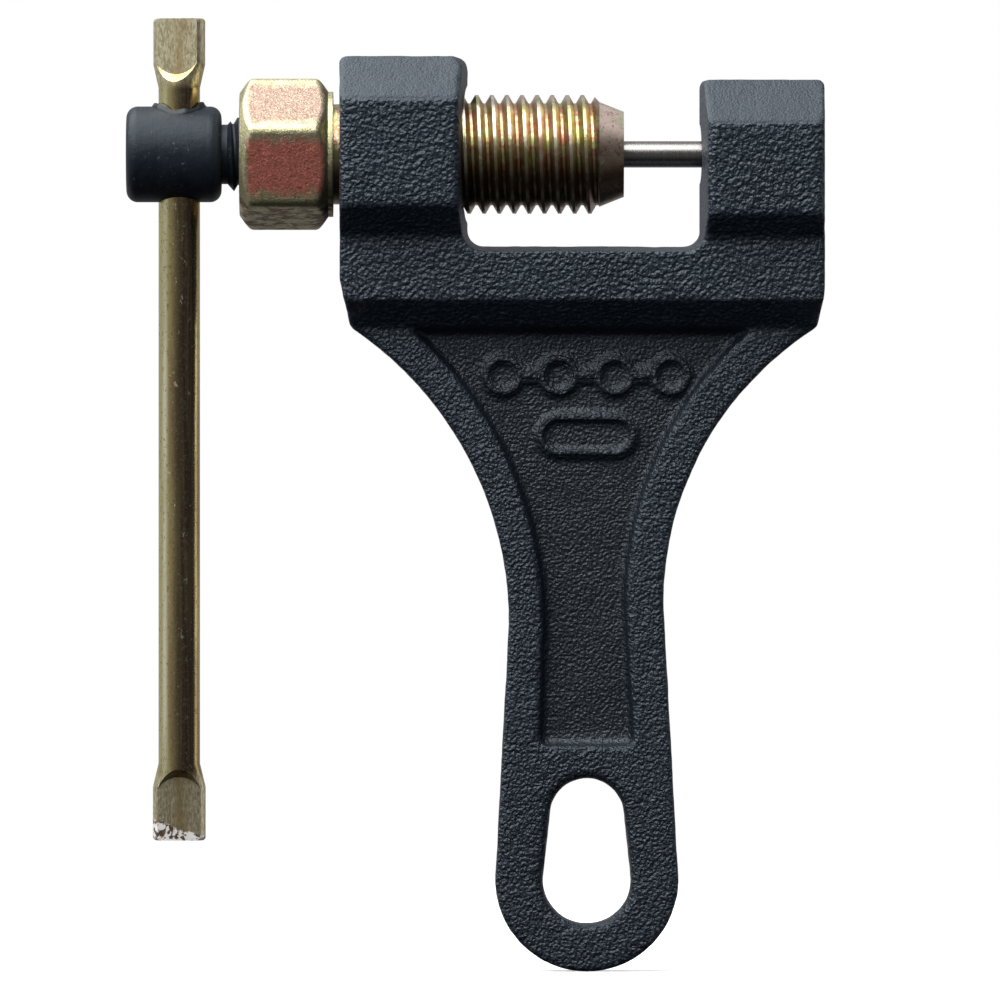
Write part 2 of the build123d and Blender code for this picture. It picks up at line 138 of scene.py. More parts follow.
class Wave:
    """A number socket. Python arithmetic on it adds Math nodes."""

    def __init__(self, finish, socket):
        self.finish = finish
        self.socket = socket

    def _math(self, operation, first, second=None, clamp=False):
        """A Math node on one or two values."""
        inputs = {0: first}
        if second is not None:
            inputs[1] = second
        settings = {"operation": operation, "use_clamp": clamp}
        return self.finish.number("ShaderNodeMath", settings, inputs)

    def __add__(self, other):
        return self._math("ADD", self, other)

    def __radd__(self, other):
        return self._math("ADD", other, self)

    def __sub__(self, other):
        return self._math("SUBTRACT", self, other)

    def __rsub__(self, other):
        return self._math("SUBTRACT", other, self)

    def __mul__(self, other):
        return self._math("MULTIPLY", self, other)

    def __rmul__(self, other):
        return self._math("MULTIPLY", other, self)

    def __pow__(self, other):
        return self._math("POWER", self, other)

    def __abs__(self):
        return self._math("ABSOLUTE", self)

    def clamped(self):
        """The value held between 0 and 1."""
        return self._math("ADD", self, 0.0, clamp=True)

    def hypot(self, other):
        """The length of the two values taken as the legs of a right angle."""
        return (self * self + other * other) ** 0.5

    def angle(self, other):
        """The angle, in radians, whose sine runs with this value and cosine with the other."""
        return self._math("ARCTAN2", self, other)

    def ramp(self, low, high):
        """0 below low, 1 above high and a smooth step between them; falls where low > high."""
        settings = {"interpolation_type": "SMOOTHSTEP"}
        inputs = {"Value": self, "From Min": min(low, high), "From Max": max(low, high)}
        if low > high:
            inputs["To Min"] = 1.0
            inputs["To Max"] = 0.0
        return self.finish.number("ShaderNodeMapRange", settings, inputs, output="Result")

    def hump(self, centre, half_width):
        """1 at the centre, falling smoothly to 0 at half_width on each side."""
        return abs(self - centre).ramp(half_width, 0.0)


class Nodes:
    """A node tree, and the calls that add its nodes."""

    def __init__(self, tree, output):
        self.tree = tree
        self.tree.nodes.clear()
        self.output = self.tree.nodes.new(output)

    def split(self, vector):
        """A vector socket's three parts."""
        parts = self.node("ShaderNodeSeparateXYZ", {}, {"Vector": vector})
        return [Wave(self, socket) for socket in parts.outputs]

    def node(self, kind, settings=None, inputs=None):
        """Adds a node, applies its settings, then links or sets its inputs."""
        made = self.tree.nodes.new(kind)
        for key, value in (settings or {}).items():
            if key == "stops":
                ramp = made.color_ramp
                while len(ramp.elements) < len(value):
                    ramp.elements.new(1.0)
                for element, (place, colour) in zip(ramp.elements, value):
                    element.position = place
                    element.color = (*colour, 1.0)
            else:
                setattr(made, key, value)
        for key, value in (inputs or {}).items():
            self.plug(made.inputs[key], value)
        return made

    def plug(self, socket, value):
        """Links a socket to a value, or sets it where the value is a plain number or colour."""
        if isinstance(value, Wave):
            value = value.socket
        if isinstance(value, bpy.types.NodeSocket):
            self.tree.links.new(value, socket)
        elif socket.type == "RGBA":
            socket.default_value = (*value[:3], 1.0)
        else:
            socket.default_value = value

    def number(self, kind, settings=None, inputs=None, output=0):
        """A node's number output as a Wave."""
        return Wave(self, self.node(kind, settings, inputs).outputs[output])


class Finish(Nodes):
    """A material, its shader and its patterns."""

    def __init__(self, name):
        self.material = bpy.data.materials.new(name)
        self.material.use_nodes = True
        super().__init__(self.material.node_tree, "ShaderNodeOutputMaterial")
        self.shader = self.tree.nodes.new("ShaderNodeBsdfPrincipled")
        self.tree.links.new(self.shader.outputs["BSDF"], self.output.inputs["Surface"])
        self.where = self.node("ShaderNodeTexCoord").outputs["Object"]
        self.x, self.y, self.z = self.split(self.where)

    def stretch(self, scale):
        """Object coordinates scaled by a factor for each axis."""
        settings = {"operation": "MULTIPLY"}
        return self.node("ShaderNodeVectorMath", settings, {0: self.where, 1: scale}).outputs[0]

    def noise(self, size, detail=2.0, rough=0.5, distort=0.0, across=None):
        """Noise from 0 to 1 whose grains are about size metres wide."""
        inputs = {
            "Vector": self.stretch(across) if across else self.where,
            "Scale": 1.0 / size,
            "Detail": detail,
            "Roughness": rough,
            "Distortion": distort,
        }
        return self.number("ShaderNodeTexNoise", {}, inputs, output="Fac")

    def mix(self, factor, first, second):
        """The first colour, turning into the second as the factor goes from 0 to 1."""
        settings = {"data_type": "RGBA", "clamp_factor": True}
        inputs = {0: factor, 6: first, 7: second}
        return self.node("ShaderNodeMix", settings, inputs).outputs[2]

    def bands(self, factor, stops):
        """A colour ramp."""
        return self.node("ShaderNodeValToRGB", {"stops": stops}, {"Fac": factor}).outputs["Color"]

    def relief(self, height, depth, below=None):
        """A bump of the given depth in metres, on top of an earlier bump."""
        inputs = {"Height": height, "Distance": depth, "Strength": 1.0}
        if below is not None:
            inputs["Normal"] = below
        return self.node("ShaderNodeBump", {}, inputs).outputs["Normal"]

    def surface(self, **sockets):
        """Sets or links the shader's sockets; an underscore stands for a space in a name."""
        for key, value in sockets.items():
            self.plug(self.shader.inputs[key.replace("_", " ")], value)
        return self.material


# ---------------------------------------------------------------- finishes


def black_casting(look):
    """Black coated casting: pebbled, smoother on the chamfers, with rust spots and one nick,
    painted shade in the sunk panel, and a painted highlight on the chamfers, the panel's sill and
    the pebbles' tops.
    """
    f = Finish("black_casting_coat")
    reach = abs(f.y) + f.z
    left_chamfer = reach.ramp(*(LEFT_CHAMFER - edge for edge in CHAMFER_EDGE))
    right_chamfer = reach.ramp(*(RIGHT_CHAMFER - edge for edge in CHAMFER_EDGE))
    smooth = (left_chamfer + right_chamfer * f.x.ramp(*JAW_GAP)).clamped()
    handle = f.z.ramp(*HANDLE_TOP)
    panel = handle * f.y.ramp(*PANEL_FACE)
    coarse = f.noise(0.54 * MM, 1.2, 0.4, 0.15)
    close = f.noise(0.42 * MM, 1.2, 0.4, 0.15)
    pebble = coarse + (close - coarse) * handle
    sand = f.noise(0.3 * MM, 2.0)
    cloud = f.noise(9 * MM, 3.0, 0.6)
    colour = f.mix(cloud.ramp(0.3, 0.7), look.casting_dark, look.casting_light)
    # Painted shade: the sunk panel's colour is darkened where shade falls in the recess
    colour = f.mix(panel * 0.7, colour, look.casting_panel_shade)
    # Painted highlight: the tops of the pebbles, and the smoother upper chamfers, are lightened in
    # their colour
    top_highlight = pebble.ramp(0.53, 0.72) * (1.0 - smooth) * (1.0 - 0.6 * panel)
    colour = f.mix(top_highlight * 0.4 + smooth * 0.25, colour, look.casting_painted_highlight)
    rust = f.noise(1.1 * MM, 4.0, 0.7).ramp(0.71, 0.76)
    # Painted highlight: a lighter band along the sunk panel's lower sill
    aside = abs(f.x - HANDLE_MIDDLE)
    sill = f.z.hump(PANEL_FOOT, 1.4 * MM) * aside.ramp(*SILL_HALF_WIDTH)
    colour = f.mix(sill * panel * 0.3, colour, look.casting_painted_highlight)
    colour = f.mix(rust * 0.5, colour, look.rust)
    corner = (f.x - JAW_RIGHT).hypot(f.z - NICK_HEIGHT).ramp(*NICK_RADIUS)
    chips = f.noise(0.7 * MM, 3.0, 0.7).ramp(0.45, 0.5)
    nick = corner * f.y.ramp(*NICK_FRONT) * chips
    colour = f.mix(nick, colour, look.pin_steel)
    rough = 0.34 + 0.12 * cloud + 0.1 * sand + 0.14 * smooth
    fine = f.relief(sand * (1.0 + 1.5 * smooth), 0.06 * MM)
    depth = (1.0 - 0.85 * smooth) * (1.0 - 0.3 * panel)
    bump = f.relief(pebble * depth, look.casting_relief, fine)
    return f.surface(
        Base_Color=colour,
        Roughness=rough,
        Normal=bump,
        Specular_IOR_Level=0.66,
        Specular_Tint=COOL_GLOSS,
    )


def yellow_zinc(look):
    """The adjusting bolt: pale gold above, rose on the front of the hexagon, olive below, with
    painted shade under the thread and painted highlights on the hexagon's edges and the nose.
    """
    f = Finish("yellow_zinc")
    around = f.z.angle(0.0 - f.y) * (180 / math.pi)
    radius = f.y.hypot(f.z)
    drift = f.noise(4.5 * MM, 3.0, 0.6, 0.8)
    stops = [
        (0.30, look.zinc_olive),
        (0.43, look.zinc_gold),
        (0.52, look.zinc_pale),
        (0.62, look.zinc_pink),
        (0.74, look.zinc_gold),
    ]
    base = f.bands(drift, stops)
    wobble = (f.noise(1.6 * MM, 4.0, 0.65) - 0.5) * 22
    turn = around + wobble

    # Hexagon: each face has its own tint, and the rounded edges are paler, a painted highlight
    hexagon = f.x.ramp(HEX_RIGHT + 0.2 * MM, HEX_RIGHT - 0.2 * MM)
    inside = abs(f.x - HEX_MIDDLE).ramp(*HEX_HALF_LENGTH)
    edges = around.hump(HEX_EDGE, 7) + around.hump(HEX_EDGE - 60, 7)
    edges = (edges + around.hump(HEX_EDGE + 60, 8)).clamped()
    top_face = turn.hump(HEX_EDGE + 30, 34) * hexagon
    front_face = turn.hump(HEX_EDGE - 30, 33) * hexagon
    low_face = around.ramp(-40, -44) * hexagon
    grit = f.noise(0.28 * MM, 3.0, 0.7)
    colour = f.mix(hexagon * 0.7, base, look.zinc_rim_tint_and_highlight)
    blush = f.mix(grit.ramp(0.42, 0.62), look.zinc_blush, look.zinc_straw)
    colour = f.mix(top_face.ramp(0.1, 0.4) * inside, colour, blush)
    rose = f.mix(grit.ramp(0.35, 0.65), look.zinc_rose, look.zinc_brick)
    colour = f.mix(front_face.ramp(0.08, 0.5) * inside, colour, rose)
    worn = f.noise(1.3 * MM, 4.0, 0.7, 0.6, across=(0.5, 1.0, 1.0)).ramp(0.44, 0.56)
    moss = f.mix(worn, look.zinc_umber_dirt_and_shade, look.zinc_light)
    colour = f.mix(low_face * 0.9, colour, moss)
    # Painted highlight along the hexagon's rounded edges
    colour = f.mix(edges * hexagon * 0.8, colour, look.zinc_rim_tint_and_highlight)
    scar = f.noise(0.55 * MM, 4.0, 0.75, 0.6).ramp(0.54, 0.64) * hexagon
    colour = f.mix(scar * 0.45, colour, look.zinc_umber_dirt_and_shade)

    # Thread: red and olive in the valleys, clean crests, painted shade in brown below, and a pink
    # nose, partly a painted highlight
    thread = 1.0 - hexagon
    valley = radius.ramp(*THREAD_VALLEY) * thread
    blot = f.noise(2.4 * MM, 3.0, 0.6)
    stops = [
        (0.38, look.zinc_olive),
        (0.46, look.zinc_moss),
        (0.53, look.zinc_wine),
        (0.60, look.zinc_olive),
    ]
    stain = f.bands(blot, stops)
    colour = f.mix(valley * 0.85, colour, stain)
    # Painted shade: the thread's underside is darkened to umber
    underside_shade = turn.ramp(12, -30) * thread
    colour = f.mix(underside_shade * 0.7, colour, look.zinc_umber_dirt_and_shade)
    nose = f.x.ramp(*NOSE_START)
    # Partly the nose's pink tint and partly a painted highlight: its upper part is brightened,
    # kept off the painted underside shade
    pink = f.mix(blot.ramp(0.4, 0.6), look.zinc_nose_tint_and_highlight, look.bar_pale)
    colour = f.mix(nose * (1.0 - underside_shade * 0.9), colour, pink)
    # Painted shade: the nose darkens towards its lower side
    colour = f.mix(nose * around.ramp(40, 4) * 0.6, colour, look.zinc_umber_dirt_and_shade)
    dirt = f.noise(0.7 * MM, 4.0, 0.75, 0.5).ramp(0.54, 0.62) * nose
    colour = f.mix(dirt * 0.6, colour, look.zinc_umber_dirt_and_shade)
    scratch = f.noise(0.3 * MM, 2.0, 0.6, 0.3, across=(0.16, 1.0, 1.0))
    scuff = f.noise(1.2 * MM, 4.0, 0.7).ramp(0.6, 0.68)
    colour = f.mix(scuff * 0.4 * thread, colour, look.zinc_pale)
    rough = 0.24 + 0.12 * scratch + 0.14 * scuff + 0.12 * hexagon
    grain = f.relief(scratch + grit * hexagon * 6.0, 0.012 * MM)
    bump = f.relief(f.noise(0.8 * MM, 3.0), 0.05 * MM, grain)
    return f.surface(Base_Color=colour, Roughness=rough, Metallic=1.0, Normal=bump)


def bar_zinc(look):
    """The tommy bar: drawn yellow zinc, streaked, specked, scuffed, and torn at its foot, with
    painted reflections down its length: a bright olive band and line on the left, and a dark
    middle.
    """
    f = Finish("bar_zinc")
    streak = f.noise(0.45 * MM, 3.0, 0.6, 0.0, across=(1.0, 1.0, 0.03))
    drift = f.noise(2.6 * MM, 3.0, 0.6, 0.2, across=(1.0, 1.0, 0.12))
    side = f.x - BAR_MIDDLE
    ends = (f.z.ramp(*BAR_FOOT) + f.z.ramp(*BAR_TIP)).clamped()
    colour = f.mix(drift.ramp(0.35, 0.65), look.bar_gold, look.bar_bronze)
    # Painted reflection: a bright olive band down the bar's left side
    olive = side.ramp(-0.6 * MM, -1.9 * MM)
    colour = f.mix(olive * 0.65, colour, look.bar_olive_reflection)
    wine = side.hump(0.6 * MM, 0.9 * MM) * streak.ramp(0.42, 0.56) * (1.0 - ends)
    colour = f.mix(wine * 0.75, colour, look.bar_wine)
    # Painted highlight: a bright line along the bar's left side
    line = side.hump(-1.9 * MM, 0.6 * MM) * (1.0 - ends)
    colour = f.mix(line * (0.4 + 0.6 * drift.ramp(0.4, 0.6)), colour, look.bar_straw_highlight)
    # Painted reflection: a dark band down the bar's middle, darker in its streaks
    shade = side.ramp(-1.9 * MM, 1.1 * MM) * side.ramp(2.1 * MM, 1.75 * MM) * (1.0 - ends)
    colour = f.mix(shade * (0.78 + 0.2 * streak.ramp(0.42, 0.58)), colour, look.bar_shade)
    pepper = f.noise(0.4 * MM, 4.0, 0.75).ramp(0.5, 0.64) * side.ramp(-1.4 * MM, -0.6 * MM)
    colour = f.mix(pepper * side.ramp(1.9 * MM, 0.9 * MM) * 0.3, colour, look.zinc_pale)
    speck = f.noise(0.35 * MM, 4.0, 0.75, across=(1.0, 1.0, 0.6)).ramp(0.56, 0.63)
    colour = f.mix(speck * 0.65, colour, look.zinc_umber_dirt_and_shade)
    scuff = f.noise(1.0 * MM, 5.0, 0.75, across=(1.0, 1.0, 0.6)).ramp(0.62, 0.66)
    colour = f.mix(scuff * 0.7, colour, look.zinc_pale)
    brushed = f.noise(0.25 * MM, 3.0, 0.6, 0.4, across=(1.0, 1.0, 0.35))
    pressed = f.mix(brushed.ramp(0.35, 0.65), look.bar_grey, look.bar_pale)
    colour = f.mix(ends * 0.85, colour, pressed)
    warm = side.hump(0.0, 2.2 * MM) * ends
    colour = f.mix(warm * (0.25 + 0.5 * drift.ramp(0.4, 0.6)), colour, look.bar_bronze)
    tear = f.z + TEAR_SLANT * side + TEAR_WANDER * (f.noise(1.2 * MM, 3.0, 0.6) - 0.5)
    broken = tear.ramp(*TEAR_EDGE)
    colour = f.mix(broken * 0.8, colour, look.zinc_umber_dirt_and_shade)
    torn = broken * f.noise(0.9 * MM, 3.0, 0.6).ramp(0.43, 0.5)
    colour = f.mix(torn, colour, look.bar_torn)
    rough = 0.17 + 0.12 * streak + 0.2 * scuff + 0.16 * ends + 0.1 * speck
    fine = f.relief(streak + brushed * ends * 3.0, 0.008 * MM)
    bump = f.relief(f.noise(1.1 * MM, 3.0, across=(1.0, 1.0, 0.35)), 0.03 * MM, fine)
    metal = 1.0 - 0.75 * torn
    return f.surface(Base_Color=colour, Roughness=rough, Metallic=metal, Normal=bump)


def black_oxide(look):
    """The push screw: satin black oxide, lightly speckled, with faint turning rings."""
    f = Finish("black_oxide")
    ring = f.noise(0.28 * MM, 2.0, 0.5, across=(1.0, 0.05, 0.05))
    speck = f.noise(0.55 * MM, 4.0, 0.75).ramp(0.62, 0.68)
    cloud = f.noise(3 * MM, 3.0, 0.6)
    colour = f.mix(cloud.ramp(0.3, 0.7), look.oxide_dark, look.oxide_light)
    colour = f.mix(speck * 0.5, colour, look.oxide_speck)
    rough = 0.36 + 0.14 * cloud + 0.08 * ring
    dimple = f.noise(0.8 * MM, 2.0)
    bump = f.relief(ring * 0.6 + dimple + speck * 0.5, 0.05 * MM)
    return f.surface(
        Base_Color=colour,
        Roughness=rough,
        Normal=bump,
        Specular_IOR_Level=0.28,
        Specular_Tint=COOL_GLOSS,
    )


def bright_steel(look):
    """The extractor pin: ground steel with grinding rings."""
    f = Finish("bright_steel")
    ring = f.noise(0.14 * MM, 2.0, 0.5, across=(1.0, 0.04, 0.04))
    stain = f.noise(1.6 * MM, 3.0, 0.6, across=(0.4, 1.0, 1.0)).ramp(0.5, 0.7)
    colour = f.mix(stain * 0.6, look.pin_steel, look.pin_brown)
    rough = 0.21 + 0.14 * ring + 0.08 * stain
    bump = f.relief(ring, 0.002 * MM)
    return f.surface(Base_Color=colour, Roughness=rough, Metallic=1.0, Normal=bump)


def spring_steel(look):
    """The return spring: drawn wire with faint lines and heat tint."""
    f = Finish("spring_steel")
    line = f.noise(0.1 * MM, 2.0)
    tint = f.noise(2 * MM, 2.0).ramp(0.4, 0.6)
    colour = f.mix(tint * 0.5, look.spring_steel, look.pin_brown)
    bump = f.relief(line, 0.004 * MM)
    return f.surface(Base_Color=colour, Roughness=0.26 + 0.16 * line, Metallic=1.0, Normal=bump)


# ---------------------------------------------------------------- meshes


def merged_copy(node, name):
    """A copy of a CAD node's mesh with its loose triangles joined."""
    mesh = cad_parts[node].data.copy()
    mesh.name = name
    mesh.materials.clear()
    shell = bmesh.new()
    shell.from_mesh(mesh)
    bmesh.ops.remove_doubles(shell, verts=shell.verts[:], dist=CAD_WELD)
    shell.to_mesh(mesh)
    shell.free()
    copy = bpy.data.objects.new(name, mesh)
    bpy.context.scene.collection.objects.link(copy)
    return copy


def settle(piece):
    """Applies a piece's modifiers to its mesh."""
    bpy.context.view_layer.update()
    graph = bpy.context.evaluated_depsgraph_get()
    mesh = bpy.data.meshes.new_from_object(piece.evaluated_get(graph))
    piece.modifiers.clear()
    old = piece.data
    piece.data = mesh
    mesh.name = piece.name
    bpy.data.meshes.remove(old)


def outline_edges(shell, corners):
    """Joins the corners of a closed outline and returns its edges."""
    return [
        shell.edges.new((corners[n], corners[(n + 1) % len(corners)])) for n in range(len(corners))
    ]


def new_piece(shell, name, material):
    """Turns a shell into a smooth piece of one material and returns its object."""
    bmesh.ops.recalc_face_normals(shell, faces=shell.faces[:])
    mesh = bpy.data.meshes.new(name)
    shell.to_mesh(mesh)
    shell.free()
    mesh.shade_smooth()
    mesh.materials.append(bpy.data.materials[material])
    piece = bpy.data.objects.new(name, mesh)
    bpy.context.scene.collection.objects.link(piece)
    return piece


def finish_node(node, material):
    """Gives a CAD node its finish."""
    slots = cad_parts[node].material_slots
    for slot in slots:
        slot.material = material
    if not slots:
        raise RuntimeError(f"{node} has no material slot")


def roughen(mesh, sizes):
    """Moves each vertex along its normal by layered noise, less near the screw's axis."""
    shell = bmesh.new()
    shell.from_mesh(mesh)
    shell.normal_update()
    for vertex in shell.verts:
        away = math.hypot(vertex.co.y, vertex.co.z)
        keep = min(1.0, max(0.0, (away - sizes.smooth_radius) / SKIN_FADE))
        swell = noise.noise(vertex.co / sizes.swell_size) * sizes.swell_height
        dent = noise.noise(vertex.co / sizes.dent_size + DENT_SHIFT) * sizes.dent_height
        vertex.co += vertex.normal * (swell + dent) * keep
    shell.to_mesh(mesh)
    shell.free()


# ---------------------------------------------------------------- sizes and colours


def colour_prop(name, description, default):
    """A colour property with its default."""
    return FloatVectorProperty(
        name=name,
        description=description,
        subtype="COLOR",
        size=3,
        min=0.0,
        max=1.0,
        default=default,
    )


def length_prop(name, description, default):
    """A length property with its default, in metres."""
    return FloatProperty(
        name=name, description=description, subtype="DISTANCE", unit="LENGTH", default=default
    )


def power_prop(name, default):
    """A lamp's power."""
    return FloatProperty(
        name=name, description="Power in watts", subtype="POWER", unit="POWER", default=default
    )


def level_prop(name, default):
    """A brightness of one part of the sky."""
    return FloatProperty(
        name=name, description="Brightness, where 1 is white", min=0.0, default=default
    )


class ChainToolSizes(bpy.types.PropertyGroup):
    """Sizes of the casting's surface."""

    voxel: length_prop("Voxel", "Grid that rounds the casting's edges", 0.42 * MM)
    swell_size: length_prop("Swell size", "Width of the casting's broad swells", 4.5 * MM)
    swell_height: length_prop("Swell height", "Height of the broad swells", 0.07 * MM)
    dent_size: length_prop("Dent size", "Width of the casting's small dents", 1.3 * MM)
    dent_height: length_prop("Dent height", "Height of the small dents", 0.05 * MM)
    smooth_radius: length_prop("Smooth radius", "The casting stays true round the screw", 9 * MM)


class ChainToolMarks(bpy.types.PropertyGroup):
    """Sizes of the raised marks on the front panel."""

    middle_x: length_prop("Middle", "Middle of the marks, across the tool", HANDLE_MIDDLE)
    row_z: length_prop("Row height", "Height of the row of rollers", -29.3 * MM)
    pitch: length_prop("Pitch", "Distance between rollers", 7.4 * MM)
    roller_radius: length_prop("Roller radius", "Middle of a roller's stroke", 2.25 * MM)
    ring_z: length_prop("Ring height", "Height of the plain ring", -37.2 * MM)
    ring_length: length_prop("Ring length", "Length of the plain ring", 13.4 * MM)
    ring_height: length_prop("Ring width", "Width of the plain ring", 5.8 * MM)
    foot_width: length_prop("Foot width", "Width of a stroke at the panel", 1.15 * MM)
    top_width: length_prop("Top width", "Width of a stroke at its top", 0.62 * MM)
    sunk_y: length_prop("Sunk face", "Where a stroke starts, inside the panel", -2.3 * MM)
    top_y: length_prop("Top face", "Where a stroke ends, in front of the panel", -3.22 * MM)
    edge_radius: length_prop("Edge radius", "Rounding along a stroke", 0.12 * MM)


class ChainToolBurr(bpy.types.PropertyGroup):
    """Sizes of the burr that the bar's hole leaves on the push screw's head."""

    inner_radius: length_prop("Inner radius", "Clear of the bar", 3.02 * MM)
    outer_radius: length_prop("Outer radius", "Where it meets the head", 3.65 * MM)
    height: length_prop("Height", "How far it stands off the head", 0.42 * MM)
    ragged: length_prop("Ragged height", "How far its rim wanders", 0.38 * MM)
    tooth: length_prop("Tooth", "Width of a tooth of its rim", 0.9 * MM)
    root: length_prop("Root", "How deep it sits in the head", 0.5 * MM)


class ChainToolLooks(bpy.types.PropertyGroup):
    """Colours of the finishes, and the depth of the casting's grain."""

    casting_dark: colour_prop("Casting, dark", "Coating in the hollows", (0.003, 0.008, 0.016))
    casting_light: colour_prop("Casting, light", "Coating on the swells", (0.006, 0.012, 0.022))
    # Painted shade that darkens the sunk panels
    casting_panel_shade: colour_prop("Casting, sunk", "Coating on the sunk panels", (0.001, 0.003, 0.007))
    # Painted highlight colour, laid on the pebbles' tops, the chamfers and the panel's sill
    casting_painted_highlight: colour_prop("Casting, fleck", "Tops of the relief", (0.05, 0.06, 0.075))
    casting_relief: length_prop("Casting relief", "Depth of the casting's pebbles", 0.42 * MM)
    rust: colour_prop("Rust", "Small rust spots", (0.08, 0.03, 0.015))
    zinc_gold: colour_prop("Zinc, gold", "Passivate, main colour", (0.39, 0.35, 0.19))
    zinc_pale: colour_prop("Zinc, pale", "Passivate where it is thin", (0.57, 0.55, 0.44))
    zinc_pink: colour_prop("Zinc, pink", "Passivate, pink clouds", (0.50, 0.31, 0.26))
    zinc_olive: colour_prop("Zinc, olive", "Passivate, green clouds", (0.42, 0.42, 0.17))
    zinc_moss: colour_prop("Zinc, moss", "Brown-green stain of the thread", (0.45, 0.40, 0.24))
    zinc_wine: colour_prop("Zinc, wine", "Red stain of the thread", (0.42, 0.14, 0.09))
    # Tint of the hexagon, and the painted highlight on its rounded edges
    zinc_rim_tint_and_highlight: colour_prop("Zinc, rim", "Rounded edges of the hexagon", (0.50, 0.48, 0.28))
    zinc_straw: colour_prop("Zinc, straw", "Sparkle on the upper face", (0.385, 0.335, 0.25))
    zinc_blush: colour_prop("Zinc, blush", "Upper face of the hexagon", (0.28, 0.18, 0.145))
    zinc_rose: colour_prop("Zinc, rose", "Front face of the hexagon", (0.98, 0.34, 0.26))
    # Pink of the nose, brightened as a painted highlight
    zinc_nose_tint_and_highlight: colour_prop("Zinc, nose", "Cone at the end of the thread", (1.0, 0.78, 0.69))
    zinc_light: colour_prop("Zinc, light", "Clean patches of the underside", (0.66, 0.58, 0.37))
    zinc_brick: colour_prop("Zinc, brick", "Darker grain of the front face", (0.70, 0.23, 0.17))
    # Umber for dirt and scars, and also the painted shade under the thread and the nose
    zinc_umber_dirt_and_shade: colour_prop("Zinc, umber", "Undersides, dirt and scars", (0.16, 0.09, 0.05))
    bar_gold: colour_prop("Bar, gold", "Bar, main colour", (0.62, 0.50, 0.22))
    bar_bronze: colour_prop("Bar, bronze", "Darker drifts along the bar", (0.40, 0.29, 0.13))
    # Painted reflection down the bar's left side
    bar_olive_reflection: colour_prop("Bar, olive", "Left side of the bar", (0.53, 0.51, 0.22))
    # Painted highlight line along the bar's left side
    bar_straw_highlight: colour_prop("Bar, straw", "Bright line along the left side", (1.0, 0.96, 0.66))
    # Painted dark reflection down the bar's middle
    bar_shade: colour_prop("Bar, shade", "Dark middle of the bar", (0.11, 0.085, 0.06))
    bar_wine: colour_prop("Bar, wine", "Red streak along the bar", (0.46, 0.16, 0.09))
    bar_grey: colour_prop("Bar, grey", "Pressed ends, in the brush marks", (0.40, 0.35, 0.21))
    bar_pale: colour_prop("Bar, pale", "Pressed ends of the bar", (0.78, 0.73, 0.53))
    bar_torn: colour_prop("Bar, torn", "Bare steel at the torn foot", (1.0, 0.97, 0.92))
    oxide_dark: colour_prop("Oxide, dark", "Push screw", (0.006, 0.010, 0.016))
    oxide_light: colour_prop("Oxide, light", "Push screw, worn", (0.012, 0.016, 0.023))
    oxide_speck: colour_prop("Oxide, specks", "Specks on the push screw", (0.16, 0.16, 0.17))
    pin_steel: colour_prop("Pin steel", "Ground extractor pin", (0.26, 0.252, 0.24))
    pin_brown: colour_prop("Pin stain", "Oil stain on the pin", (0.30, 0.22, 0.16))
    spring_steel: colour_prop("Spring steel", "Return spring", (0.42, 0.40, 0.37))


class ChainToolStudio(bpy.types.PropertyGroup):
    """Camera and light."""

    camera_distance: length_prop("Camera distance", "In front of the tool's mid-plane", 2.4)
    lens: FloatProperty(
        name="Lens",
        description="Focal length in millimetres",
        subtype="DISTANCE_CAMERA",
        unit="CAMERA",
        default=652.0,
    )
    aim: FloatVectorProperty(
        name="Aim",
        description="Point that the camera looks at",
        subtype="XYZ",
        size=3,
        default=(-0.0272, 0.0, -0.0458),
    )
    backdrop: colour_prop("Backdrop", "Floor and backdrop", (0.93, 0.93, 0.93))
    top_power: power_prop("Top light", 6.4)
    sky_top: level_prop("Sky above", 0.5)
    sky_front: level_prop("Sky in front", 0.13)
    sky_left: level_prop("Sky on the left", 0.31)
    sky_right: level_prop("Sky on the right", 1.1)
    sky_back: level_prop("Sky behind", 0.26)


# ---------------------------------------------------------------- operators


